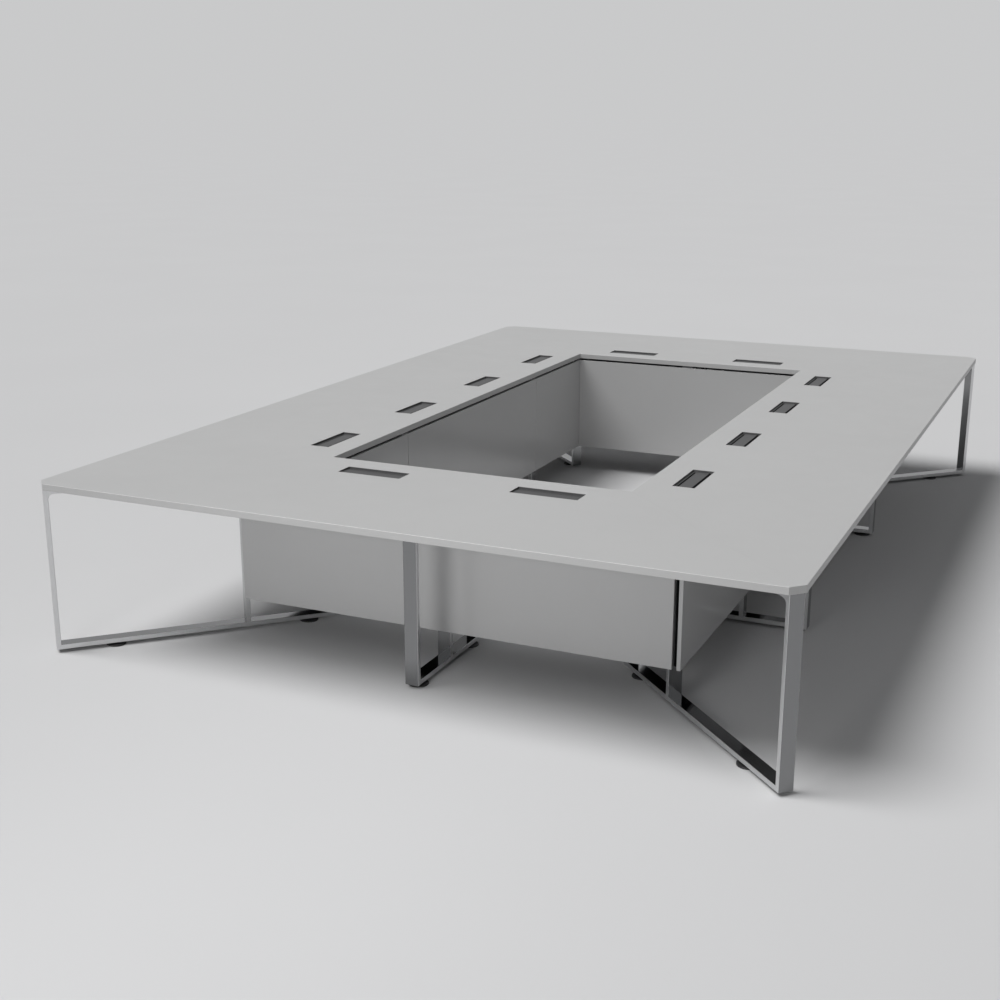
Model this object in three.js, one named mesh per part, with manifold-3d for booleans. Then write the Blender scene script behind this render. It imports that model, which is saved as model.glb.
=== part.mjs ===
import * as THREE from 'three';
import { mergeVertices } from 'three/addons/utils/BufferGeometryUtils.js';
import Module from 'manifold-3d';

// Conference table: four mitred boards make a rectangular ring round an open well.
// Ten legs, each a closed frame of flat bar with one middle post, stand under the ring.
// Two rings of upright panels hang between the legs and make a cable channel.
// Each seating place has a hinged flap over a cable slot.
// Millimetres, +Z up. X runs along the short sides, Y along the long sides.
// The origin is on the floor under the middle of the table.

// Overall
const TABLE_WIDTH = 3200;
const TABLE_LENGTH = 4800;
const TABLE_HEIGHT = 750;
const RING_WIDTH = 900;
const SEAT_PITCH = 800;
const SHORT_SIDE_PLACES = 2;
const LONG_SIDE_PLACES = 4;
const FIT = 0.3;

// Top boards
const TOP_THICKNESS = 28;
const TOP_EDGE = 1;
const CORNER_CHAMFER = 48;
const MITRE_GAP = 0.3;

// Cable flaps
const FLAP_LENGTH = 296;
const FLAP_WIDTH = 95;
const FLAP_SETBACK = 167.5;
const FLAP_LEDGE = 8;
const CABLE_SLOT = 19.5;
const HINGE_SETBACK = 23.5;
const LID_RECESS = 6;
const LID_PLATE = 3;
const LID_LIP = 8;
const LID_END_GAP = 1.5;
const ROLL_RADIUS = 8;
const ROLL_RELIEF = 0.5;
const PIN_RADIUS = 2.5;
const PIN_LENGTH = 6;

// Legs
const BAR_WIDTH = 60;
const BAR_THICKNESS = 20;
const BAR_EDGE = 1;
const BAR_FILLET = 22;
const MID_LEG_INSET = 300;

// Feet
const FOOT_HEIGHT = 15;
const FOOT_RADIUS = 42;
const FOOT_RIM = 6;
const FOOT_EDGE = 1.5;
const FOOT_SHOULDER = 34;
const FOOT_DISC = 10;
const COLLAR_RADIUS = 12;
const STUD_RADIUS = 5;
const STUD_COVER = 4;
const CORNER_FOOT_OUTER = 249;
const CORNER_FOOT_INNER = 113;
const MID_FOOT_INSET = 57;

// Panels
const PANEL_THICKNESS = 16;
const PANEL_EDGE = 0.6;
const PANEL_BOTTOM = 150;
const OUTER_PANEL_INSET = 572;
const POST_COVER = 5;
const SHORT_PANEL_START = 32;
const SHORT_PANEL_END = 20;
const LONG_PANEL_END = 49;
const INNER_PANEL_SETBACK = 2;
const INNER_PANEL_GAP = 12.5;
const PANEL_JOINT = 2;

// Levels and lines that several pieces share
const TOP_UNDERSIDE = TABLE_HEIGHT - TOP_THICKNESS;
const LEG_TOP = TOP_UNDERSIDE - FIT;
const LEDGE_DEPTH = LID_RECESS + LID_PLATE + FIT;
const HINGE_Z = TABLE_HEIGHT - LID_RECESS - ROLL_RADIUS;
const LID_REACH = FLAP_WIDTH - CABLE_SLOT - HINGE_SETBACK;
const LID_LENGTH = FLAP_LENGTH - 2 * LID_END_GAP;
const SLOT_LENGTH = FLAP_LENGTH - 2 * FLAP_LEDGE;
const ROLL_LENGTH = SLOT_LENGTH - 2 * ROLL_RELIEF;
const OUTER_PANEL_BACK = OUTER_PANEL_INSET + PANEL_THICKNESS;
const INNER_PANEL_FACE = RING_WIDTH - INNER_PANEL_SETBACK;
const INNER_PANEL_BACK = INNER_PANEL_FACE - PANEL_THICKNESS;
const CORNER_POST = (OUTER_PANEL_INSET + POST_COVER) * Math.SQRT2 + BAR_WIDTH / 2;
const MID_POST = OUTER_PANEL_BACK + FIT;
const STUD_REACH = BAR_THICKNESS - STUD_COVER;

// Each side in turn, anticlockwise from the near one. A side is built with its outer
// edge towards -Y and its length along X, then turned by quarters about Z.
const SIDES = [
  { name: 'near', quarter: 0, short: true },
  { name: 'right', quarter: 1, short: false },
  { name: 'far', quarter: 2, short: true },
  { name: 'left', quarter: 3, short: false },
];
for (const side of SIDES) {
  side.half = (side.short ? TABLE_WIDTH : TABLE_LENGTH) / 2;
  side.edge = -(side.short ? TABLE_LENGTH : TABLE_WIDTH) / 2;
  side.count = side.short ? SHORT_SIDE_PLACES : LONG_SIDE_PLACES;
  side.cut = side.edge + RING_WIDTH - FLAP_SETBACK;
  side.hinge = side.cut + FLAP_WIDTH / 2 - HINGE_SETBACK;
}

function finish(colour, roughness, metalness) {
  return new THREE.MeshStandardMaterial({ color: colour, roughness, metalness });
}

const LAMINATE = () => finish(0xb4b4b4, 0.35, 0);
const PANEL_LAMINATE = () => finish(0xb0b0b1, 0.3, 0);
const CHROME = () => finish(0xd8d9db, 0.08, 1);
const SATIN_METAL = () => finish(0x8a8b8d, 0.4, 0.9);
const BLACK_PLASTIC = () => finish(0x161616, 0.5, 0);

const wasm = await Module();
wasm.setup();

// A closed geometry as a solid that can be cut and joined.
function solid(geometry) {
  const bare = geometry.clone();
  bare.deleteAttribute('normal');
  bare.deleteAttribute('uv');
  const merged = mergeVertices(bare, 1e-4);
  return new wasm.Manifold(new wasm.Mesh({
    numProp: 3,
    vertProperties: new Float32Array(merged.attributes.position.array),
    triVerts: new Uint32Array(merged.index.array),
  }));
}

// A named mesh of a solid.
function piece(name, body, material) {
  const mesh = body.getMesh();
  const geometry = new THREE.BufferGeometry();
  geometry.setAttribute('position', new THREE.BufferAttribute(mesh.vertProperties, 3));
  geometry.setIndex(new THREE.BufferAttribute(mesh.triVerts, 1));
  geometry.computeVertexNormals();
  const object = new THREE.Mesh(geometry, material);
  object.name = name;
  return object;
}

function outline(points) {
  return new THREE.Shape(points.map(([x, y]) => new THREE.Vector2(x, y)));
}

// A shape drawn out along Z. Its ends are drawn in by the edge, or with no offset its
// middle is that much fuller than the shape.
function prism(shape, depth, edge = 0, offset = -edge) {
  return new THREE.ExtrudeGeometry(shape, {
    depth: depth - 2 * edge,
    curveSegments: 8,
    bevelEnabled: edge > 0,
    bevelThickness: edge,
    bevelSize: edge,
    bevelOffset: offset,
    bevelSegments: 1,
  }).translate(0, 0, edge);
}

function box(width, depth, height) {
  return new THREE.BoxGeometry(width, depth, height);
}

function rod(radius, length, sides) {
  return new THREE.CylinderGeometry(radius, radius, length, sides);
}

// Places along a side, one seat pitch apart and centred on it.
function places(side) {
  return Array.from({ length: side.count }, (_, i) => (i - (side.count - 1) / 2) * SEAT_PITCH);
}

// The stepped cut under one flap, with a blind pin bore in each end wall.
function flapCut(side, at) {
  const recess = solid(box(FLAP_LENGTH, FLAP_WIDTH, 2 * LEDGE_DEPTH)
    .translate(at, side.cut, TABLE_HEIGHT));
  const slot = solid(box(SLOT_LENGTH, FLAP_WIDTH - 2 * FLAP_LEDGE, 4 * TOP_THICKNESS)
    .translate(at, side.cut, TABLE_HEIGHT));
  const bore = solid(rod(PIN_RADIUS + FIT, ROLL_LENGTH + 2 * (PIN_LENGTH + FIT), 12)
    .rotateZ(Math.PI / 2)
    .translate(at, side.hinge, HINGE_Z));
  return recess.add(slot).add(bore);
}

// A ring board: a chamfered section, cut to its mitred plan and then for its flaps.
function topBoard(side) {
  const inner = side.edge + RING_WIDTH;
  const short = MITRE_GAP / Math.SQRT2;
  const section = prism(outline([
    [side.edge, TOP_UNDERSIDE + TOP_EDGE],
    [side.edge + TOP_EDGE, TOP_UNDERSIDE],
    [inner - TOP_EDGE, TOP_UNDERSIDE],
    [inner, TOP_UNDERSIDE + TOP_EDGE],
    [inner, TABLE_HEIGHT - TOP_EDGE],
    [inner - TOP_EDGE, TABLE_HEIGHT],
    [side.edge + TOP_EDGE, TABLE_HEIGHT],
    [side.edge, TABLE_HEIGHT - TOP_EDGE],
  ]), 2 * side.half);
  section.translate(0, 0, -side.half);
  section.applyMatrix4(new THREE.Matrix4().makeBasis(
    new THREE.Vector3(0, 1, 0),
    new THREE.Vector3(0, 0, 1),
    new THREE.Vector3(1, 0, 0),
  ));
  const corner = side.half - CORNER_CHAMFER;
  const mitre = side.half - CORNER_CHAMFER / 2 - short;
  const tip = side.half - RING_WIDTH - short;
  const over = 1;
  const plan = prism(outline([
    [-corner, side.edge],
    [corner, side.edge],
    [mitre, side.edge + CORNER_CHAMFER / 2],
    [tip - over, inner + over],
    [-tip + over, inner + over],
    [-mitre, side.edge + CORNER_CHAMFER / 2],
  ]), 2 * TOP_THICKNESS);
  plan.translate(0, 0, TABLE_HEIGHT - TOP_THICKNESS * 1.5);
  let body = solid(section).intersect(solid(plan));
  for (const at of places(side)) {
    body = body.subtract(flapCut(side, at));
  }
  return piece(`top_${side.name}`, body, LAMINATE());
}

// A flap lid about its hinge line: a plate with a rolled edge and a turned-down lip,
// end strips that rest on the ledges, and a pin at each end of the roll.
function lid(name) {
  const under = ROLL_RADIUS - LID_PLATE;
  const lipBottom = under - LID_LIP;
  const start = Math.asin(under / ROLL_RADIUS);
  const shape = new THREE.Shape();
  shape.moveTo(0, ROLL_RADIUS);
  shape.absarc(0, 0, ROLL_RADIUS, Math.PI / 2, 2 * Math.PI + start, false);
  shape.lineTo(LID_REACH - LID_PLATE, under);
  shape.lineTo(LID_REACH - LID_PLATE, lipBottom);
  shape.lineTo(LID_REACH, lipBottom);
  shape.lineTo(LID_REACH, ROLL_RADIUS);
  const plate = prism(shape, ROLL_LENGTH);
  plate.translate(0, 0, -ROLL_LENGTH / 2);
  plate.applyMatrix4(new THREE.Matrix4().makeBasis(
    new THREE.Vector3(0, -1, 0),
    new THREE.Vector3(0, 0, 1),
    new THREE.Vector3(-1, 0, 0),
  ));
  const strip = box(LID_LENGTH, LID_REACH - ROLL_RADIUS, LID_PLATE);
  strip.translate(0, -(LID_REACH + ROLL_RADIUS) / 2, ROLL_RADIUS - LID_PLATE / 2);
  const pins = rod(PIN_RADIUS, ROLL_LENGTH + 2 * PIN_LENGTH, 12).rotateZ(Math.PI / 2);
  const body = solid(plate).add(solid(strip)).add(solid(pins));
  return piece(name, body, SATIN_METAL());
}

// An upright board between two places along a side, from one level to another.
function upright(from, to, bottom, top, face) {
  const shape = outline([[from, bottom], [to, bottom], [to, top], [from, top]]);
  const board = prism(shape, PANEL_THICKNESS, PANEL_EDGE).rotateX(Math.PI / 2);
  return solid(board.translate(0, face + PANEL_THICKNESS, 0));
}

// The outer panels follow each other round the table. A long one starts level with the
// face of the short one before it, and the other ends stop short of the corner.
// Grooves in the backs clear the corner posts.
function outerPanel(side) {
  const start = side.short ? OUTER_PANEL_BACK + SHORT_PANEL_START : OUTER_PANEL_INSET;
  const end = OUTER_PANEL_BACK + (side.short ? SHORT_PANEL_END : LONG_PANEL_END);
  const top = LEG_TOP - BAR_THICKNESS - FIT;
  const face = side.edge + OUTER_PANEL_INSET;
  let body = upright(start - side.half, side.half - end, PANEL_BOTTOM, top, face);
  const post = (CORNER_POST + BAR_THICKNESS / 2) / Math.SQRT2;
  for (const way of [-1, 1]) {
    const groove = box(BAR_THICKNESS + 2 * FIT, BAR_WIDTH + 2 * FIT, 2 * TABLE_HEIGHT);
    groove.rotateZ(-way * Math.PI / 4);
    groove.translate(way * (side.half - post), side.edge + post, 0);
    body = body.subtract(solid(groove));
  }
  return piece(`panel_outer_${side.name}`, body, PANEL_LAMINATE());
}

// Long sides have a joint in the inner boards at each middle leg.
function innerPanels(side) {
  const top = TOP_UNDERSIDE - INNER_PANEL_GAP;
  const face = side.edge + INNER_PANEL_BACK;
  if (side.short) {
    const end = side.half - INNER_PANEL_FACE - FIT;
    const body = upright(-end, end, PANEL_BOTTOM, top, face);
    return [piece(`panel_inner_${side.name}`, body, PANEL_LAMINATE())];
  }
  const end = side.half - INNER_PANEL_BACK;
  const joint = PANEL_JOINT / 2;
  const spans = [
    [-end, -SEAT_PITCH - joint],
    [-SEAT_PITCH + joint, SEAT_PITCH - joint],
    [SEAT_PITCH + joint, end],
  ];
  return spans.map(([from, to], i) => {
    const body = upright(from, to, PANEL_BOTTOM, top, face);
    return piece(`panel_inner_${side.name}_${i + 1}`, body, PANEL_LAMINATE());
  });
}

// The opening between two uprights of a leg, rounded at the top of its end upright.
function bay(from, to, roundAt) {
  const low = FOOT_HEIGHT + BAR_THICKNESS;
  const high = LEG_TOP - BAR_THICKNESS;
  const r = Math.min(BAR_FILLET, to - from, high - low);
  const path = new THREE.Shape();
  path.moveTo(from, low);
  path.lineTo(to, low);
  if (roundAt === 'to') {
    path.absarc(to - r, high - r, r, 0, Math.PI / 2, false);
    path.lineTo(from, high);
  } else {
    path.lineTo(to, high);
    path.absarc(from + r, high - r, r, Math.PI / 2, Math.PI, false);
  }
  return path;
}

// A leg frame in its own plane, from its outer face to its inner face, both measured
// inwards along X from the table's edge or corner. The post stands between them.
function legFrame(name, outer, post, inner, feet) {
  const shape = outline([
    [outer, FOOT_HEIGHT],
    [inner, FOOT_HEIGHT],
    [inner, LEG_TOP],
    [outer, LEG_TOP],
  ]);
  const bays = [
    bay(outer + BAR_THICKNESS, post, 'from'),
    bay(post + BAR_THICKNESS, inner - BAR_THICKNESS, 'to'),
  ];
  const frame = prism(shape, BAR_WIDTH, BAR_EDGE).rotateX(Math.PI / 2);
  let body = solid(frame.translate(0, BAR_WIDTH / 2, 0));
  const reach = BAR_WIDTH / 2 - BAR_EDGE;
  for (const opening of bays) {
    const cut = prism(opening, 2 * BAR_WIDTH).rotateX(Math.PI / 2);
    body = body.subtract(solid(cut.translate(0, BAR_WIDTH, 0)));
    for (const at of [-reach, reach + BAR_WIDTH]) {
      const flare = prism(opening, BAR_WIDTH, BAR_EDGE, 0).rotateX(Math.PI / 2);
      body = body.subtract(solid(flare.translate(0, at, 0)));
    }
  }
  for (const at of feet) {
    const bore = rod(STUD_RADIUS + FIT, 2 * (STUD_REACH + FIT), 12).rotateX(Math.PI / 2);
    body = body.subtract(solid(bore.translate(at, 0, FOOT_HEIGHT)));
  }
  return piece(name, body, CHROME());
}

// A levelling foot: a disc with a collar and a stud that enters the bar above it.
function foot(name) {
  const profile = [
    [0, 0],
    [FOOT_RADIUS - FOOT_EDGE, 0],
    [FOOT_RADIUS, FOOT_EDGE],
    [FOOT_RADIUS, FOOT_RIM],
    [FOOT_SHOULDER, FOOT_DISC],
    [COLLAR_RADIUS, FOOT_DISC],
    [COLLAR_RADIUS, FOOT_HEIGHT - FIT],
    [STUD_RADIUS, FOOT_HEIGHT - FIT],
    [STUD_RADIUS, FOOT_HEIGHT + STUD_REACH],
    [0, FOOT_HEIGHT + STUD_REACH],
  ].map(([r, z]) => new THREE.Vector2(r, z));
  const turned = new THREE.LatheGeometry(profile, 16).rotateX(Math.PI / 2);
  return piece(name, solid(turned), BLACK_PLASTIC());
}

// One leg with its two feet, at a point on the table's edge and turned to face inwards.
function leg(spot) {
  const diagonal = spot.corner ? Math.SQRT2 : 1;
  const outer = spot.corner ? CORNER_CHAMFER / Math.SQRT2 : MID_LEG_INSET;
  const post = spot.corner ? CORNER_POST : MID_POST;
  const inner = INNER_PANEL_BACK * diagonal - FIT;
  const feet = [
    outer + (spot.corner ? CORNER_FOOT_OUTER : MID_FOOT_INSET),
    inner - (spot.corner ? CORNER_FOOT_INNER : MID_FOOT_INSET),
  ];
  const group = new THREE.Group();
  group.position.set(spot.x, spot.y, 0);
  group.rotation.z = spot.angle;
  group.add(legFrame(`leg_${spot.name}`, outer, post, inner, feet));
  for (const [end, at] of [['outer', feet[0]], ['inner', feet[1]]]) {
    const stand = foot(`foot_${spot.name}_${end}`);
    stand.position.x = at;
    group.add(stand);
  }
  return group;
}

// Four corner legs on the mitres, one leg amid each short side, two on each long side.
function legSpots() {
  const x = TABLE_WIDTH / 2;
  const y = TABLE_LENGTH / 2;
  const quarter = Math.PI / 2;
  const eighth = Math.PI / 4;
  return [
    { name: 'near_left', corner: true, x: -x, y: -y, angle: eighth },
    { name: 'near_right', corner: true, x, y: -y, angle: eighth + quarter },
    { name: 'far_right', corner: true, x, y, angle: eighth + 2 * quarter },
    { name: 'far_left', corner: true, x: -x, y, angle: eighth + 3 * quarter },
    { name: 'near_mid', corner: false, x: 0, y: -y, angle: quarter },
    { name: 'far_mid', corner: false, x: 0, y, angle: 3 * quarter },
    { name: 'right_1', corner: false, x, y: -SEAT_PITCH, angle: 2 * quarter },
    { name: 'right_2', corner: false, x, y: SEAT_PITCH, angle: 2 * quarter },
    { name: 'left_1', corner: false, x: -x, y: SEAT_PITCH, angle: 0 },
    { name: 'left_2', corner: false, x: -x, y: -SEAT_PITCH, angle: 0 },
  ];
}

function conferenceTable() {
  const table = new THREE.Group();
  for (const side of SIDES) {
    const group = new THREE.Group();
    group.rotation.z = side.quarter * Math.PI / 2;
    group.add(topBoard(side));
    places(side).forEach((at, i) => {
      const flap = lid(`lid_${side.name}_${i + 1}`);
      flap.position.set(at, side.hinge, HINGE_Z);
      group.add(flap);
    });
    group.add(outerPanel(side), ...innerPanels(side));
    table.add(group);
  }
  for (const spot of legSpots()) {
    table.add(leg(spot));
  }
  return table;
}

export default conferenceTable();
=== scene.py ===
"""A ring-shaped conference table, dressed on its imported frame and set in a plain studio."""

import math

import bpy
import numpy as np
from bpy.props import FloatProperty, FloatVectorProperty, IntProperty, PointerProperty
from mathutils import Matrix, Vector


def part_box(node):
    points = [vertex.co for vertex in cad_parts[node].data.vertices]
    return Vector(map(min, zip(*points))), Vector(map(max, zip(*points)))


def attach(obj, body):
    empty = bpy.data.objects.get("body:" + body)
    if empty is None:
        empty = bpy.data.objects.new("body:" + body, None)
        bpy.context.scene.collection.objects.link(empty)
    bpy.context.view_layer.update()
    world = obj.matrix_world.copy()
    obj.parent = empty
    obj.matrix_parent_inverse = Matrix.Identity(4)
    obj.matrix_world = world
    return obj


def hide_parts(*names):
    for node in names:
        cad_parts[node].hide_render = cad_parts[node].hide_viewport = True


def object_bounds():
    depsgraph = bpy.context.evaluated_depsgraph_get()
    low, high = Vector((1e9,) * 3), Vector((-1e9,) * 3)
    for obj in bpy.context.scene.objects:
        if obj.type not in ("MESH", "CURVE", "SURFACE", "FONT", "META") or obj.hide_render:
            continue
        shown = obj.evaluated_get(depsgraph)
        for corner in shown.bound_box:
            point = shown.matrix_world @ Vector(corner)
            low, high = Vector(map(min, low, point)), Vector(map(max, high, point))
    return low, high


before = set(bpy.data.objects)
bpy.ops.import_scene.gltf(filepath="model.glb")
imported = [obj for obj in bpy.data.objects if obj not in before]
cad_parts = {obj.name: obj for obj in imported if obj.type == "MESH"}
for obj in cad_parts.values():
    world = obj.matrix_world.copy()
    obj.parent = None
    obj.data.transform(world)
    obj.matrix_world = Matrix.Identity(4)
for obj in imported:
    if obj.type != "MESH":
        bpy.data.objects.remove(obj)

bl_info = {
    "name": "Conference table",
    "version": (1, 0, 0),
    "blender": (4, 5, 0),
    "location": "3D View > Sidebar > Table",
    "description": "Dresses a ring-shaped conference table and sets it in a studio",
    "category": "Object",
}

CAD_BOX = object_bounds()
SHORT_SIDES = ("near", "far")

# Facets and small steps of the new surfaces
FOOT_SIDES = 144
SCREW_SIDES = 20
CROWN_STEPS = 12
FLOOR_POINTS = 5
AXIS_GAP = 1e-5
FIT = 0.0003

# Screws along a leg, as shares of the way from its middle to its last screw
SCREW_SHARES = (-1.0, -0.34, 0.34, 1.0)

# Colour of dust on plastic
DUST = (0.09, 0.088, 0.084, 1.0)


def nodes_named(start):
    """The frame's nodes whose names start with a word, in order."""
    found = [name for name in sorted(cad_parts) if name.startswith(start)]
    if not found:
        raise RuntimeError(f"the frame has no node that starts with {start}")
    return found


def colour(name, words, value):
    """A colour property in linear light."""
    return FloatVectorProperty(
        name=name, description=words, default=value, size=3, min=0.0, max=1.0, subtype="COLOR"
    )


def length(name, words, value):
    """A length property in metres."""
    return FloatProperty(
        name=name, description=words, default=value, min=0.0, unit="LENGTH", precision=5
    )


def share(name, words, value):
    """A property from 0 to 1."""
    return FloatProperty(
        name=name, description=words, default=value, min=0.0, max=1.0, subtype="FACTOR"
    )


def angle(name, words, degrees):
    """An angle property, written in degrees."""
    return FloatProperty(
        name=name, description=words, default=math.radians(degrees), subtype="ANGLE"
    )


def place(name, words, value):
    """A place in metres."""
    return FloatVectorProperty(
        name=name, description=words, default=value, subtype="XYZ_LENGTH", unit="LENGTH"
    )


class TableFinishes(bpy.types.PropertyGroup):
    """Colours and gloss of the table's surfaces."""

    top: colour("Top", "Laminate of the ring boards", (0.445, 0.445, 0.443))
    top_gloss: share("Top roughness", "Mean roughness of the top laminate", 0.36)
    panel: colour("Panels", "Laminate of the upright boards", (0.45, 0.45, 0.45))
    panel_gloss: share("Panel roughness", "Mean roughness of the panel laminate", 0.20)
    # painted shade: the broad faces' reflection colour is kept far below plain chrome, for the
    # dark surroundings they reflect
    chrome: colour("Chrome", "Reflection colour of the bars' broad faces", (0.26, 0.263, 0.267))
    chrome_gloss: share("Chrome roughness", "Mean roughness of the broad faces", 0.05)
    # painted highlight: the rims' far lighter reflection colour stands in for the bright light
    # the narrow sides catch
    rim: colour("Rims", "Reflection colour of the bars' narrow sides", (0.66, 0.663, 0.668))
    rim_gloss: share("Rim roughness", "Mean roughness of the narrow sides", 0.28)
    lid: colour("Lids", "Reflection colour of the flap lids", (0.085, 0.085, 0.087))
    lid_gloss: share("Lid roughness", "Mean roughness of the flap lids", 0.42)
    # painted shade: dark colour on the flap cut walls, standing in for the shade inside the
    # recesses
    cut: colour("Flap cuts", "Painted shade on the walls of the flap cuts", (0.085, 0.085, 0.086))
    # painted shade: near-black colour on the panel faces that line the cable channel, where shade
    # falls
    channel_shade: colour("Channel shade", "Painted shade on the panels' channel side", (0.02, 0.02, 0.021))
    foot: colour("Feet", "Plastic of the levelling feet", (0.012, 0.012, 0.013))
    screw: colour("Screws", "Zinc of the fixing screws", (0.52, 0.52, 0.50))
    # painted shade: the troughs' near-black colour stands in for the shade seen through the flap
    # slots
    tray: colour("Trays", "Painted shade: near-black plastic of the cable trays", (0.018, 0.018, 0.019))


class FootSizes(bpy.types.PropertyGroup):
    """Sizes of a levelling foot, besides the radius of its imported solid."""

    base_round: length("Base rounding", "Radius at the foot's lower edge", 0.0015)
    rim: length("Rim", "Height of the upright rim", 0.006)
    crown: length("Crown", "Height of the disc at its collar", 0.010)
    collar: length("Collar", "Radius of the collar under the bar", 0.012)
    collar_top: length("Collar top", "Height of the collar's upper face", 0.0147)
    ribs: IntProperty(name="Ribs", description="Grip ribs round the rim", default=36, min=0)
    rib_depth: length("Rib depth", "How far the grip ribs cut into the rim", 0.0006)
    plain: length("Plain band", "Height of rim left plain above and below the ribs", 0.0006)
    fade: length("Rib fade", "Height over which the ribs begin", 0.0002)
    waist: length("Waist", "Radius of the hollow under the collar", 0.002)
    ease: length("Collar edge", "Size of the collar's eased edge", 0.0008)


class ScrewSizes(bpy.types.PropertyGroup):
    """Sizes of the pan-head screws that hold the legs to the boards."""

    head: length("Head radius", "Radius of the screw's head", 0.0065)
    rise: length("Head height", "How far the head stands below the bar", 0.0035)
    socket: length("Socket radius", "Radius of the drive socket", 0.0025)
    sunk: length("Socket depth", "Depth of the drive socket", 0.0022)
    dome: length("Dome", "Radius at the head's edge", 0.0025)
    first: length("First screw", "From a leg's end to its first screw", 0.075)
    bar: length("Bar", "Thickness of a leg's top bar", 0.02)


class FlapSizes(bpy.types.PropertyGroup):
    """Sizes and places of the flap cuts in the ring boards."""

    pitch: length("Pitch", "From one seating place to the next", 0.8)
    setback: length("Setback", "From a board's inner edge to the middle of its cuts", 0.1675)
    long: length("Length", "Length of a cut", 0.296)
    wide: length("Width", "Width of a cut", 0.095)
    ledge: length("Ledge", "Width of the ledge round the slot", 0.008)


class TraySizes(bpy.types.PropertyGroup):
    """Sizes of the trough that hangs under a flap cut."""

    depth: length("Depth", "How far the trough hangs below the board", 0.055)
    wall: length("Wall", "Thickness of the trough's wall", 0.002)
    flange: length("Flange", "Width of the flange along each upper edge", 0.014)
    spare: length("Spare", "How much wider than the cut the trough is, on each side", 0.004)
    bend: length("Bend", "Inner radius at the trough's lower corners", 0.010)


class StudioSettings(bpy.types.PropertyGroup):
    """Floor, light and camera."""

    floor: colour("Floor", "Colour of the floor", (0.62, 0.62, 0.625))
    floor_reach: length("Floor reach", "From the table's middle to the floor's sides", 300.0)
    backdrop: colour("Backdrop", "Colour behind the table", (0.585, 0.5875, 0.5925))
    fill: colour("Fill light", "Light from all round", (0.20, 0.202, 0.205))
    key: FloatProperty(
        name="Key light", description="Strength of the key light", default=2.7, min=0.0
    )
    key_spread: angle("Key spread", "Breadth of the key light", 32.0)
    key_height: angle("Key height", "Height of the key light", 60.0)
    key_turn: angle("Key turn", "How far the key light is to the left", 58.0)
    front: FloatProperty(
        name="Front light", description="Power of the front softbox", default=15.5, min=0.0,
        unit="POWER",
    )
    front_spread: angle("Front spread", "Angle the front softbox fills", 60.0)
    front_size: length("Front size", "Side of the front softbox", 2.0)
    front_place: place("Front place", "Place of the front softbox", (-0.1, -8.0, 1.9))
    front_aim: place("Front aim", "Where the front softbox points", (0.0, -1.8, 0.5))
    eye: place("Eye", "Place of the camera", (2.4682, -6.6436, 2.229))
    pitch: angle("Pitch", "How far the camera looks down", 15.633)
    yaw: angle("Yaw", "How far the camera turns to the left", 24.598)
    lens: FloatProperty(name="Lens", description="Focal length in millimetres", default=50.0)
    sensor: FloatProperty(name="Sensor", description="Sensor width in millimetres", default=36.0)
    sight: length("Sight", "How far the camera sees", 1000.0)


class Value:
    """An output socket. Arithmetic on it adds Math nodes to its finish."""

    def __init__(self, finish, socket):
        self.finish = finish
        self.socket = socket

    def maths(self, operation, first, second=0.0):
        return self.finish.node("ShaderNodeMath", {"operation": operation}, {0: first, 1: second})

    def __add__(self, other):
        return self.maths("ADD", self, other)

    def __radd__(self, other):
        return self.maths("ADD", other, self)

    def __sub__(self, other):
        return self.maths("SUBTRACT", self, other)

    def __rsub__(self, other):
        return self.maths("SUBTRACT", other, self)

    def __mul__(self, other):
        return self.maths("MULTIPLY", self, other)

    def __rmul__(self, other):
        return self.maths("MULTIPLY", other, self)

    def size(self):
        """The value without its sign."""
        return self.maths("ABSOLUTE", self)

    def most(self, other):
        """The greater of two values."""
        return self.maths("MAXIMUM", self, other)

    def wrap(self, step):
        """What is left of the value after whole steps."""
        return self.maths("MODULO", self, step)


class Shader:
    """The node tree of a material or a world."""

    def __init__(self, owner):
        owner.use_nodes = True
        self.owner = owner
        self.tree = owner.node_tree
        self.tree.nodes.clear()

    def node(self, kind, settings=None, sockets=None, output=0):
        """Adds a node: its settings first, then the values or links of its sockets."""
        made = self.tree.nodes.new(kind)
        for key, value in (settings or {}).items():
            setattr(made, key, value)
        for key, value in (sockets or {}).items():
            if isinstance(value, Value):
                self.tree.links.new(value.socket, made.inputs[key])
            else:
                made.inputs[key].default_value = value
        return Value(self, made.outputs[output]) if made.outputs else None

    def mix(self, amount, first, second):
        """A colour between two colours."""
        return self.node(
            "ShaderNodeMix", {"data_type": "RGBA"}, {0: amount, 6: first, 7: second}, output=2
        )


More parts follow.
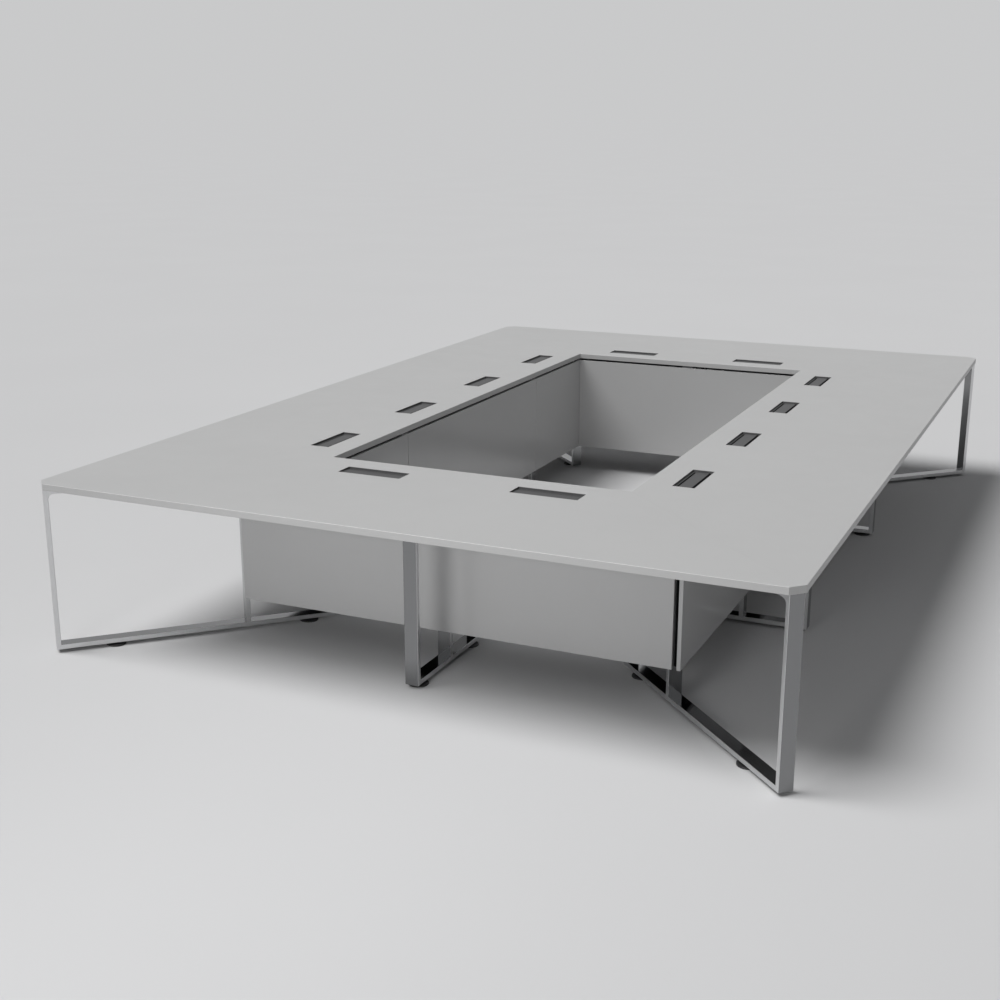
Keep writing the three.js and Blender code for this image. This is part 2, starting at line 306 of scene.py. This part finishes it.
class Finish(Shader):
    """A material built node by node."""

    def __init__(self, name):
        super().__init__(bpy.data.materials.new(name))
        self.place = self.node("ShaderNodeTexCoord", output="Object")

    def stretched(self, scale):
        """Object coordinates scaled along each axis."""
        return self.node("ShaderNodeMapping", None, {"Vector": self.place, "Scale": scale})

    def noise(self, scale, detail=3.0, rough=0.5, where=None):
        """Smooth noise from 0 to 1."""
        return self.node(
            "ShaderNodeTexNoise",
            None,
            {"Vector": where or self.place, "Scale": scale, "Detail": detail, "Roughness": rough},
        )

    def band(self, value, low, high):
        """A value's smooth rise from 0 to 1 between two limits."""
        return self.node(
            "ShaderNodeMapRange",
            {"interpolation_type": "SMOOTHSTEP"},
            {"Value": value, "From Min": low, "From Max": high},
        )

    def part(self, axis):
        """One component of the Object coordinates."""
        return self.node("ShaderNodeSeparateXYZ", None, {0: self.place}, output=axis)

    def bump(self, height, strength, distance):
        """A bumped normal from a height."""
        return self.node(
            "ShaderNodeBump", None, {"Height": height, "Strength": strength, "Distance": distance}
        )

    def close(self, sockets):
        """Ends the finish in one surface shader and gives the material back."""
        surface = self.node("ShaderNodeBsdfPrincipled", None, sockets)
        self.node("ShaderNodeOutputMaterial", None, {"Surface": surface})
        return self.owner


def shade(tint, amount):
    """A colour made lighter or darker, with full alpha."""
    return tuple(min(1.0, channel * amount) for channel in tint) + (1.0,)


def within(finish, distance, half):
    """One where a distance is inside a half width, with a margin of 0.3 mm."""
    return finish.band(distance, half + 0.0003, half + 0.0001)


def channel_shaded_laminate(name, looks, inner, outer):
    """Panel laminate, with painted shade: a near-black colour on the faces that line the cable
    channel.

    inner and outer are half the channel's inner and outer sizes. A place is past one of
    them by the greater of |x| - half its width and |y| - half its length.
    """
    finish, body, rough = laminate_face(name, looks.panel, looks.panel_gloss)
    across, along = finish.part(0).size(), finish.part(1).size()
    past_inner = (across - inner[0]).most(along - inner[1])
    past_outer = (across - outer[0]).most(along - outer[1])
    # painted shade: the panel faces inside the cable channel take a near-black mottled colour
    shaded_channel_faces = finish.band(past_inner, -0.0004, -0.0002) * within(finish, past_outer, 0.0)
    channel_shade_mottle = finish.noise(300.0, 2.0)
    painted_channel_shade = finish.mix(channel_shade_mottle, shade(looks.channel_shade, 0.8), shade(looks.channel_shade, 1.2))
    return close_laminate(finish, finish.mix(shaded_channel_faces, body, painted_channel_shade), rough + shaded_channel_faces * 0.3)


def cut_laminate(name, looks, flap, level, line, along):
    """Laminate with streaked edge banding, and painted shade in the flap cuts: dark walls for the
    shade in the recesses.

    A cut's walls are where the place along the board, folded into one pitch, and the
    distance from the line of cuts are both inside the cut, just below the upper face.
    """
    finish, body, rough = laminate_face(name, looks.top, looks.top_gloss)
    height = finish.part(2)
    edge = finish.band(height, level - 0.0006, level - 0.0014)
    streak = finish.noise(40.0, 2.0, 0.5, finish.stretched((0.4, 0.4, 18.0)))
    body = finish.mix(edge * streak * 0.5, body, shade(looks.top, 0.88))
    place = finish.part(along)
    folded = (place.size().wrap(flap.pitch) - flap.pitch / 2.0).size()
    aside = (finish.part(1 - along).size() - line).size()
    inside = within(finish, folded, flap.long / 2.0) * within(finish, aside, flap.wide / 2.0)
    # painted shade: the cut walls just below the upper face take a dark mottled colour in place
    # of the recess's shade
    wall = inside * finish.band(height, level - 0.0001, level - 0.0005)
    wall_shade_mottle = finish.noise(120.0, 3.0, 0.6)
    painted_wall_shade = finish.mix(wall_shade_mottle, shade(looks.cut, 0.85), shade(looks.cut, 1.15))
    body = finish.mix(wall, body, painted_wall_shade)
    return close_laminate(finish, body, rough + edge * 0.05)


def laminate_face(name, tint, gloss):
    """The speckled colour and the roughness of a laminate."""
    finish = Finish(name)
    cloud = finish.noise(1.7, 3.0)
    speck = finish.noise(900.0, 2.0, 0.6)
    body = finish.mix(cloud, shade(tint, 0.965), shade(tint, 1.035))
    dots = finish.band(speck, 0.58, 0.75) * 0.5
    body = finish.mix(dots, body, shade(tint, 0.86))
    light = finish.band(speck, 0.42, 0.25) * 0.4
    body = finish.mix(light, body, shade(tint, 1.12))
    return finish, body, finish.noise(6.0, 4.0, 0.6) * 0.12 + (gloss - 0.06)


def close_laminate(finish, body, rough):
    """Ends a laminate with its faint pebble."""
    pebble = finish.noise(1400.0, 2.0, 0.5)
    normal = finish.bump(pebble, 0.06, 0.0004)
    return finish.close({"Base Color": body, "Roughness": rough, "Normal": normal})


def polished_metal(name, looks, side):
    """Plated flat bar: dark mirror faces with haze and polishing lines, and rougher rims with a
    painted highlight, a far lighter reflection colour.

    A rim is where the normal lies along the frame's side axis, broken edges included.
    """
    finish = Finish(name)
    facing = finish.node(
        "ShaderNodeVectorMath",
        {"operation": "DOT_PRODUCT"},
        {0: finish.node("ShaderNodeTexCoord", output="Normal"), 1: side},
        output="Value",
    )
    rim = finish.band(facing.size(), 0.6, 0.72)
    haze = finish.noise(3.0, 4.0, 0.6)
    lines = finish.noise(260.0, 2.0, 0.5, finish.stretched((1.0, 1.0, 0.06)))
    low = finish.band(finish.part(2), 0.09, 0.0)
    face = finish.mix(haze * 0.6, shade(looks.chrome, 1.04), shade(looks.chrome, 0.94))
    face = finish.mix(low * 0.25, face, shade(looks.chrome, 0.8))
    # painted highlight: the narrow sides get a far lighter colour than the faces, for the bright
    # light they catch
    painted_rim_highlight = finish.mix(lines, shade(looks.rim, 0.95), shade(looks.rim, 1.05))
    body = finish.mix(rim, face, painted_rim_highlight)
    mirror = looks.chrome_gloss + haze * 0.03 + lines * 0.015 + low * 0.04
    rough = mirror + rim * (looks.rim_gloss - looks.chrome_gloss)
    normal = finish.bump(lines, 0.015, 0.0002)
    return finish.close(
        {"Base Color": body, "Metallic": 1.0, "Roughness": rough, "Normal": normal}
    )


def satin_metal(name, tint, gloss, along_x):
    """Satin sheet: fine brush lines along the lid's length, with a slow change of sheen."""
    finish = Finish(name)
    scale = (2.0, 240.0, 240.0) if along_x else (240.0, 2.0, 240.0)
    brush = finish.noise(6.0, 4.0, 0.65, finish.stretched(scale))
    wear = finish.noise(14.0, 4.0, 0.6)
    body = finish.mix(brush, shade(tint, 0.86), shade(tint, 1.14))
    rough = gloss + brush * 0.10 + wear * 0.06 - 0.08
    normal = finish.bump(brush, 0.08, 0.0002)
    return finish.close(
        {"Base Color": body, "Metallic": 0.85, "Roughness": rough, "Normal": normal}
    )


def moulded_plastic(name, tint, on_floor=True):
    """Moulded plastic: a fine grain under patchy dust, thickest at the floor on a foot."""
    finish = Finish(name)
    grain = finish.noise(1100.0, 3.0, 0.6)
    dust = finish.noise(70.0, 4.0, 0.6)
    dust = dust * finish.band(finish.part(2), 0.012, 0.0) * 0.35 if on_floor else dust * 0.1
    body = finish.mix(dust, shade(tint, 1.0), DUST)
    rough = grain * 0.2 + 0.38
    normal = finish.bump(grain, 0.2, 0.0004)
    return finish.close({"Base Color": body, "Roughness": rough, "Normal": normal})


def zinc(name, tint):
    """Zinc plate: a cloudy grey metal with a faint grain."""
    finish = Finish(name)
    cloud = finish.noise(160.0, 4.0, 0.6)
    body = finish.mix(cloud, shade(tint, 0.8), shade(tint, 1.15))
    rough = cloud * 0.25 + 0.22
    normal = finish.bump(cloud, 0.05, 0.0003)
    return finish.close(
        {"Base Color": body, "Metallic": 1.0, "Roughness": rough, "Normal": normal}
    )


def dress(names, material):
    """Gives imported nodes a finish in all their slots."""
    for name in names:
        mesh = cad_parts[name].data
        mesh.materials.clear()
        mesh.materials.append(material)


def grid_faces(rows, columns, wrap):
    """Quads between neighbouring rows and columns of a grid, closed round where wrapped."""
    row = np.arange(rows - 1)[:, None]
    column = np.arange(columns if wrap else columns - 1)[None, :]
    after = (column + 1) % columns
    a = row * columns + column
    b = row * columns + after
    corners = np.stack([a, b, b + columns, a + columns], axis=-1)
    return corners.reshape(-1, 4)


def add_surface(name, points, faces, material, smooth=True):
    """Puts arrays of points and faces into a mesh object at the origin."""
    mesh = bpy.data.meshes.new(name)
    mesh.from_pydata(points.tolist(), [], [list(map(int, face)) for face in faces])
    mesh.polygons.foreach_set("use_smooth", np.full(len(faces), smooth))
    mesh.materials.append(material)
    mesh.validate()
    mesh.update()
    made = bpy.data.objects.new(name, mesh)
    bpy.context.scene.collection.objects.link(made)
    return made


def turned(profile, sides, ribs=0, rib_depth=0.0, rib_zone=None):
    """A profile of radius and height turned about Z: x = r cos a, y = r sin a, z = h.

    Within the rib zone's heights the radius loses rib_depth * (1 - cos(ribs * a)) / 2.
    """
    radius = profile[:, 0][:, None]
    height = profile[:, 1][:, None]
    angle = np.linspace(0.0, 2.0 * np.pi, sides, endpoint=False)[None, :]
    drop = np.zeros((len(profile), 1))
    if rib_zone is not None:
        inside = (height > rib_zone[0]) & (height < rib_zone[1])
        drop = np.where(inside, rib_depth, 0.0)
    r = radius - drop * (1.0 - np.cos(ribs * angle)) / 2.0
    points = np.stack(
        [r * np.cos(angle), r * np.sin(angle), np.broadcast_to(height, r.shape)], axis=-1
    )
    return points.reshape(-1, 3), grid_faces(len(profile), sides, True)


def quarter(centre, radius, start, end, steps=6):
    """Points on an arc about a centre from one angle to another, in degrees."""
    angle = np.radians(np.linspace(start, end, steps))
    return np.stack(
        [centre[0] + radius * np.cos(angle), centre[1] + radius * np.sin(angle)], axis=-1
    )


def rib_rows(sizes):
    """Heights on a foot's rim where the ribs begin, are full, start to end and have ended."""
    low = sizes.base_round + sizes.plain
    high = sizes.rim - sizes.plain
    return np.array([low, low + sizes.fade, high - sizes.fade, high])


def foot_profile(radius, sizes):
    """Half outline of a foot: rounded base, ribbed rim, domed crown, waisted collar."""
    base = quarter((radius - sizes.base_round, sizes.base_round), sizes.base_round, -90.0, 0.0)
    rows = rib_rows(sizes)
    rim = np.stack([np.full(len(rows), radius), rows], axis=-1)
    t = np.linspace(0.0, 1.0, CROWN_STEPS)
    neck = sizes.collar + sizes.waist
    crown = np.stack(
        [
            radius + (neck - radius) * t,
            sizes.rim + (sizes.crown - sizes.rim) * np.sin(t * np.pi / 2.0),
        ],
        axis=-1,
    )
    waist = quarter((neck, sizes.crown + sizes.waist), sizes.waist, -90.0, -180.0, 5)
    collar = np.array([
        [sizes.collar, sizes.collar_top - sizes.ease],
        [sizes.collar - 0.375 * sizes.ease, sizes.collar_top - 0.25 * sizes.ease],
        [sizes.collar - sizes.ease, sizes.collar_top],
    ])
    ends = np.array([[AXIS_GAP, 0.0], [AXIS_GAP, sizes.collar_top]])
    return np.concatenate([ends[:1], base, rim, crown, waist, collar, ends[1:]])


def screw_profile(sizes):
    """Half outline of a pan head seen from its tip: a domed rim round a sunk socket."""
    centre = (sizes.head - sizes.dome, -sizes.rise + sizes.dome)
    dome = quarter(centre, sizes.dome, 0.0, -90.0, 5)
    return np.concatenate([
        [[AXIS_GAP, -sizes.rise + sizes.sunk]],
        [[sizes.socket, -sizes.rise + sizes.sunk]],
        [[sizes.socket, -sizes.rise]],
        dome[::-1],
        [[sizes.head, 0.0]],
        [[AXIS_GAP, 0.0]],
    ])


def leg_way(name):
    """The level direction of a leg, from its outer foot to its inner foot."""
    outer, inner = (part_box(f"foot{name[3:]}_{end}")[0] for end in ("outer", "inner"))
    way = np.array(inner - outer)
    return way / np.linalg.norm(way)


def cut_line(side, flap):
    """A board's long axis, and how far its line of flap cuts is from the table's middle."""
    along = 0 if side in SHORT_SIDES else 1
    low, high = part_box("top_" + side)
    inner = min(abs(low[1 - along]), abs(high[1 - along]))
    return along, inner + flap.setback


def trough_section(half, sizes):
    """Outline of a trough's wall: down one side, round two corners and up the other.

    The outer line runs through both flanges, and the inner line comes back at one wall's
    thickness from it.
    """
    wall, bend, deep = sizes.wall, sizes.bend, sizes.depth
    out = half + sizes.flange
    outer = np.concatenate([
        [[-out, 0.0], [-out, -wall], [-half - wall, -wall]],
        quarter((bend - half, bend - deep), bend + wall, 180.0, 270.0),
        quarter((half - bend, bend - deep), bend + wall, 270.0, 360.0),
        [[half + wall, -wall], [out, -wall], [out, 0.0]],
    ])
    inner = np.concatenate([
        [[half, 0.0]],
        quarter((half - bend, bend - deep), bend, 360.0, 270.0),
        quarter((bend - half, bend - deep), bend, 270.0, 180.0),
        [[-half, 0.0]],
    ])
    return np.concatenate([outer, inner])


def trough(name, section, along, ends, aside, material):
    """A section carried straight along one level axis: its end places, then its outline."""
    count = len(section)
    points = np.zeros((2, count, 3))
    points[:, :, along] = ends[:, None]
    points[:, :, 1 - along] = aside + section[None, :, 0]
    points[:, :, 2] = section[None, :, 1]
    caps = np.arange(2 * count).reshape(2, count)
    faces = [*grid_faces(2, count, True), caps[0][::-1], caps[1]]
    if along == 1:
        faces = [face[::-1] for face in faces]
    return add_surface(name, points.reshape(-1, 3), faces, material, False)


class TABLE_OT_boards(bpy.types.Operator):
    """Finish the ring boards and the upright panels in their laminates"""

    bl_idname = "table.boards"
    bl_label = "Boards and panels"

    def execute(self, context):
        looks = context.scene.table_finishes
        flap = context.scene.table_flap
        for name in nodes_named("top_"):
            along, line = cut_line(name.split("_")[1], flap)
            material = cut_laminate("laminate_" + name, looks, flap, CAD_BOX[1].z, line, along)
            dress([name], material)
        inner = (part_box("panel_inner_right_1")[1].x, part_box("panel_inner_far")[1].y)
        outer = (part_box("panel_outer_right")[0].x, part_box("panel_outer_far")[0].y)
        dress(nodes_named("panel_"), channel_shaded_laminate("panel_laminate", looks, inner, outer))
        return {"FINISHED"}


class TABLE_OT_legs(bpy.types.Operator):
    """Finish the leg frames in polished chrome"""

    bl_idname = "table.legs"
    bl_label = "Legs"

    def execute(self, context):
        looks = context.scene.table_finishes
        for name in nodes_named("leg_"):
            way = leg_way(name)
            side = (-way[1], way[0], 0.0)
            dress([name], polished_metal("chrome_" + name, looks, side))
        return {"FINISHED"}


class TABLE_OT_lids(bpy.types.Operator):
    """Finish the flap lids in satin metal brushed along their length"""

    bl_idname = "table.lids"
    bl_label = "Flap lids"

    def execute(self, context):
        looks = context.scene.table_finishes
        across = satin_metal("lid_satin_across", looks.lid, looks.lid_gloss, True)
        lengthwise = satin_metal("lid_satin_lengthwise", looks.lid, looks.lid_gloss, False)
        for name in nodes_named("lid_"):
            side = name.split("_")[1]
            dress([name], across if side in SHORT_SIDES else lengthwise)
        return {"FINISHED"}


class TABLE_OT_feet(bpy.types.Operator):
    """Turn the levelling feet with a rounded base, a ribbed rim and a collar"""

    bl_idname = "table.feet"
    bl_label = "Levelling feet"

    def execute(self, context):
        sizes = context.scene.table_foot
        plastic = moulded_plastic("foot_plastic", context.scene.table_finishes.foot)
        rows = rib_rows(sizes)
        zone = (rows[:2].mean(), rows[2:].mean())
        for name in nodes_named("foot_"):
            low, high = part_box(name)
            middle = np.array([(low.x + high.x) / 2.0, (low.y + high.y) / 2.0, 0.0])
            profile = foot_profile((high.x - low.x) / 2.0, sizes)
            points, faces = turned(profile, FOOT_SIDES, sizes.ribs, sizes.rib_depth, zone)
            stand = add_surface("stand" + name[4:], points + middle, faces, plastic)
            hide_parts(name)
            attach(stand, "table")
        return {"FINISHED"}


class TABLE_OT_screws(bpy.types.Operator):
    """Set pan-head screws under the top bar of each leg"""

    bl_idname = "table.screws"
    bl_label = "Fixing screws"

    def execute(self, context):
        sizes = context.scene.table_screw
        metal = zinc("screw_zinc", context.scene.table_finishes.screw)
        points, faces = turned(screw_profile(sizes), SCREW_SIDES)
        for name in nodes_named("leg_"):
            spots = self.spots(name, sizes)
            heads = (spots[:, None, :] + points[None, :, :]).reshape(-1, 3)
            step = np.arange(len(spots))[:, None, None] * len(points)
            quads = (faces[None] + step).reshape(-1, 4)
            made = add_surface("screws" + name[3:], heads, quads, metal)
            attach(made, "table")
        return {"FINISHED"}

    def spots(self, name, sizes):
        """Screw places along a leg's middle line, in from both of its ends."""
        low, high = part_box(name)
        way = leg_way(name)
        centre = np.array((low + high) / 2.0)
        half = np.abs(way) @ np.array(high - low) / 2.0
        reach = (half - sizes.first) * np.array(SCREW_SHARES)
        spots = centre[None, :] + reach[:, None] * way[None, :]
        spots[:, 2] = high.z - sizes.bar
        return spots


class TABLE_OT_trays(bpy.types.Operator):
    """Hang a cable trough under each flap cut, near-black as painted shade in the slots"""

    bl_idname = "table.trays"
    bl_label = "Cable trays"

    def execute(self, context):
        sizes = context.scene.table_tray
        flap = context.scene.table_flap
        # painted shade: the troughs' near-black plastic stands in for the shade seen through the
        # slots
        plastic = moulded_plastic("tray_plastic", context.scene.table_finishes.tray, False)
        section = trough_section(flap.wide / 2.0 - flap.ledge + sizes.spare, sizes)
        section[:, 1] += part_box("top_near")[0].z - FIT
        for name in nodes_named("lid_"):
            along, line = cut_line(name.split("_")[1], flap)
            low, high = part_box(name)
            middle = (low + high) / 2.0
            aside = math.copysign(line, middle[1 - along])
            ends = middle[along] + np.array([-0.5, 0.5]) * flap.long
            made = trough("tray" + name[3:], section, along, ends, aside, plastic)
            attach(made, "table")
        return {"FINISHED"}


class TABLE_OT_studio(bpy.types.Operator):
    """Lay the pale floor, light it softly and set the camera"""

    bl_idname = "table.studio"
    bl_label = "Studio"

    def execute(self, context):
        scene = context.scene
        studio = scene.table_studio
        self.floor(studio)
        self.light(scene, studio)
        self.world(scene, studio)
        self.camera(scene, studio)
        scene.view_settings.view_transform = "Standard"
        return {"FINISHED"}

    def floor(self, studio):
        """A level sheet: x and y from one side to the other, z = 0."""
        side = np.linspace(-studio.floor_reach, studio.floor_reach, FLOOR_POINTS)
        x, y = np.meshgrid(side, side)
        points = np.stack([x, y, np.zeros_like(x)], axis=-1).reshape(-1, 3)
        finish = Finish("studio_floor")
        cloud = finish.noise(0.6, 2.0)
        body = finish.mix(cloud, shade(studio.floor, 0.985), shade(studio.floor, 1.015))
        rough = finish.noise(3.0, 3.0) * 0.1 + 0.40
        material = finish.close(
            {"Base Color": body, "Roughness": rough, "Specular IOR Level": 0.0}
        )
        faces = grid_faces(FLOOR_POINTS, FLOOR_POINTS, False)
        sheet = add_surface("studio_floor", points, faces, material, False)

    def light(self, scene, studio):
        """A broad key light from high on the left, and a low softbox in front."""
        sun = bpy.data.lights.new("key", "SUN")
        sun.energy = studio.key
        sun.angle = studio.key_spread
        key = bpy.data.objects.new("key", sun)
        key.rotation_euler = (math.pi / 2.0 - studio.key_height, 0.0, -studio.key_turn)
        scene.collection.objects.link(key)
        lamp = bpy.data.lights.new("front_softbox", "AREA")
        lamp.energy = studio.front
        lamp.size = studio.front_size
        lamp.spread = studio.front_spread
        box = bpy.data.objects.new("front_softbox", lamp)
        box.location = studio.front_place
        aim = Vector(studio.front_aim) - Vector(studio.front_place)
        box.rotation_euler = aim.to_track_quat("-Z", "Y").to_euler()
        scene.collection.objects.link(box)

    def world(self, scene, studio):
        """An even fill light, with a pale backdrop for the eye and for reflections."""
        sky = Shader(bpy.data.worlds.new("studio"))
        kinds = ("Is Camera Ray", "Is Glossy Ray", "Is Transmission Ray")
        camera, glossy, through = (sky.node("ShaderNodeLightPath", output=kind) for kind in kinds)
        seen = camera + glossy + through
        tint = sky.mix(seen, shade(studio.fill, 1.0), shade(studio.backdrop, 1.0))
        surface = sky.node("ShaderNodeBackground", None, {"Color": tint})
        sky.node("ShaderNodeOutputWorld", None, {"Surface": surface})
        scene.world = sky.owner

    def camera(self, scene, studio):
        """A view from above the near right corner."""
        lens = bpy.data.cameras.new("eye")
        lens.lens = studio.lens
        lens.sensor_width = studio.sensor
        lens.clip_end = studio.sight
        eye = bpy.data.objects.new("eye", lens)
        eye.location = studio.eye
        eye.rotation_euler = (math.pi / 2.0 - studio.pitch, 0.0, studio.yaw)
        scene.collection.objects.link(eye)
        scene.camera = eye


class TABLE_PT_sidebar(bpy.types.Panel):
    """Lists the table's pieces and settings"""

    bl_idname = "TABLE_PT_sidebar"
    bl_label = "Conference table"
    bl_space_type = "VIEW_3D"
    bl_region_type = "UI"
    bl_category = "Table"

    def draw(self, context):
        for operator in OPERATORS:
            self.layout.operator(operator.bl_idname)
        for group in GROUPS:
            settings = getattr(context.scene, group)
            column = self.layout.column(align=True)
            for key in settings.bl_rna.properties.keys():
                if key not in ("rna_type", "name"):
                    column.prop(settings, key)


GROUPS = {
    "table_finishes": TableFinishes,
    "table_flap": FlapSizes,
    "table_foot": FootSizes,
    "table_screw": ScrewSizes,
    "table_tray": TraySizes,
    "table_studio": StudioSettings,
}
OPERATORS = (
    TABLE_OT_boards,
    TABLE_OT_legs,
    TABLE_OT_lids,
    TABLE_OT_feet,
    TABLE_OT_screws,
    TABLE_OT_trays,
    TABLE_OT_studio,
)


def register():
    """Registers the settings, the operators and the panel."""
    for name, group in GROUPS.items():
        bpy.utils.register_class(group)
        setattr(bpy.types.Scene, name, PointerProperty(type=group))
    for operator in OPERATORS:
        bpy.utils.register_class(operator)
    bpy.utils.register_class(TABLE_PT_sidebar)


def unregister():
    """Takes everything back out."""
    bpy.utils.unregister_class(TABLE_PT_sidebar)
    for operator in reversed(OPERATORS):
        bpy.utils.unregister_class(operator)
    for name, group in reversed(GROUPS.items()):
        delattr(bpy.types.Scene, name)
        bpy.utils.unregister_class(group)


def main():
    """Builds every piece in order."""
    register()
    bpy.ops.table.boards()
    bpy.ops.table.legs()
    bpy.ops.table.lids()
    bpy.ops.table.feet()
    bpy.ops.table.screws()
    bpy.ops.table.trays()
    bpy.ops.table.studio()


if __name__ == "__main__":
    main()
